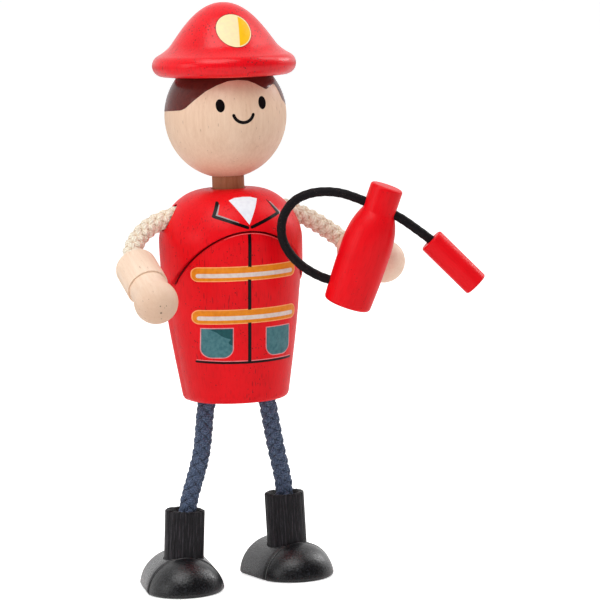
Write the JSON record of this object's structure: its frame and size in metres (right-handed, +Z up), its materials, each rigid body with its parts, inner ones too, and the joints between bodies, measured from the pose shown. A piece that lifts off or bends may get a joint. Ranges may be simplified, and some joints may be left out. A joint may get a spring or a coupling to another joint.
{
  "type": "firefighter doll",
  "caption": "Wooden firefighter doll with a turned head, hat and jacket body, bendable cord arms and legs, boots, and a small extinguisher with hose and nozzle in its hand.",
  "frame": {"origin": "on the floor, under the middle of the box of all pieces except the hose", "axes": "+Z up through the standing doll, which faces -Y and holds the extinguisher in its left hand at +X"},
  "size_m": [0.0862, 0.0554, 0.146],
  "materials": {
    "red_gloss_paint": "gloss red paint",
    "red_satin_paint": "satin red paint",
    "natural_wood": "clear satin",
    "dowel_wood": "bare",
    "black_stained_wood": "satin stain",
    "cream_cord": "braided",
    "navy_cord": "braided",
    "black_elastic_cord": "braided",
    "wire": "drawn"
  },
  "bodies": {
    "torso": {"torso": "red_satin_paint"},
    "head": {"head": "natural_wood", "hat": "red_gloss_paint", "hat_peg": "dowel_wood", "neck_dowel": "dowel_wood"},
    "right_arm": {"right_arm_rope": "cream_cord", "right_arm_wire": "wire"},
    "right_hand": {"right_hand": "natural_wood"},
    "left_arm": {"left_arm_rope": "cream_cord", "left_arm_wire": "wire"},
    "left_hand": {"left_hand": "natural_wood"},
    "grip_peg": {"extinguisher_peg": "natural_wood"},
    "extinguisher": {"extinguisher_body": "red_satin_paint", "extinguisher_hose": "black_elastic_cord"},
    "nozzle": {"extinguisher_nozzle": "red_satin_paint"},
    "right_leg": {"right_leg_rope": "navy_cord", "right_leg_wire": "wire"},
    "right_boot": {"right_boot_shaft": "black_stained_wood", "right_boot_foot": "black_stained_wood"},
    "left_leg": {"left_leg_rope": "navy_cord", "left_leg_wire": "wire"},
    "left_boot": {"left_boot_shaft": "black_stained_wood", "left_boot_foot": "black_stained_wood"}
  },
  "joints": [
    {"name": "head_turn", "type": "hinge", "parent": "torso", "child": "head", "pos_m": [-0.01109, 0.00952, 0.1026], "axis": [0, 0, 1], "continuous": true},
    {"name": "right_shoulder", "type": "hinge", "parent": "torso", "child": "right_arm", "pos_m": [-0.02659, 0.00952, 0.0934], "axis": [1, 0, 0], "range_deg": [-100, 60], "deforming": ["right_arm_rope", "right_arm_wire"]},
    {"name": "right_wrist", "type": "hinge", "parent": "right_arm", "child": "right_hand", "pos_m": [-0.03847, 0.00263, 0.0851], "axis": [1, 0, 0], "range_deg": [-45, 45], "deforming": ["right_arm_rope", "right_arm_wire"]},
    {"name": "left_shoulder", "type": "hinge", "parent": "torso", "child": "left_arm", "pos_m": [0.00441, 0.00952, 0.0934], "axis": [1, 0, 0], "range_deg": [-30, 8], "deforming": ["left_arm_rope", "left_arm_wire"]},
    {"name": "left_wrist", "type": "hinge", "parent": "left_arm", "child": "left_hand", "pos_m": [0.01954, 0.00994, 0.084], "axis": [1, 0, 0], "range_deg": [-10, 10], "deforming": ["left_arm_rope", "left_arm_wire"]},
    {"name": "extinguisher_pull", "type": "slide", "parent": "left_hand", "child": "grip_peg", "axis": [-0.7007, -0.7045, 0.1127], "range_m": [0, 0.012]},
    {"name": "extinguisher_swivel", "type": "hinge", "parent": "grip_peg", "child": "extinguisher", "pos_m": [0.02299, -0.00764, 0.0811], "axis": [-0.7007, -0.7045, 0.1127], "range_deg": [-45, 20]},
    {"name": "nozzle_bend", "type": "hinge", "parent": "extinguisher", "child": "nozzle", "pos_m": [0.02699, -0.02073, 0.09009], "axis": [0.3282, 0.9429, 0.0568], "range_deg": [-40, 35], "stiffness_Nm_per_rad": 0.002, "deforming": ["extinguisher_hose"]},
    {"name": "right_hip", "type": "hinge", "parent": "torso", "child": "right_leg", "pos_m": [-0.01869, 0.00952, 0.0477], "axis": [1, 0, 0], "range_deg": [-70, 40], "deforming": ["right_leg_rope", "right_leg_wire"]},
    {"name": "right_ankle", "type": "hinge", "parent": "right_leg", "child": "right_boot", "pos_m": [-0.02504, 0.01152, 0.02264], "axis": [1, 0, 0], "range_deg": [-30, 30], "deforming": ["right_leg_rope", "right_leg_wire"]},
    {"name": "left_hip", "type": "hinge", "parent": "torso", "child": "left_leg", "pos_m": [-0.00349, 0.00952, 0.0477], "axis": [1, 0, 0], "range_deg": [-70, 40], "deforming": ["left_leg_rope", "left_leg_wire"]},
    {"name": "left_ankle", "type": "hinge", "parent": "left_leg", "child": "left_boot", "pos_m": [0.00236, 0.01722, 0.0238], "axis": [1, 0, 0], "range_deg": [-30, 30], "deforming": ["left_leg_rope", "left_leg_wire"]}
  ]
}
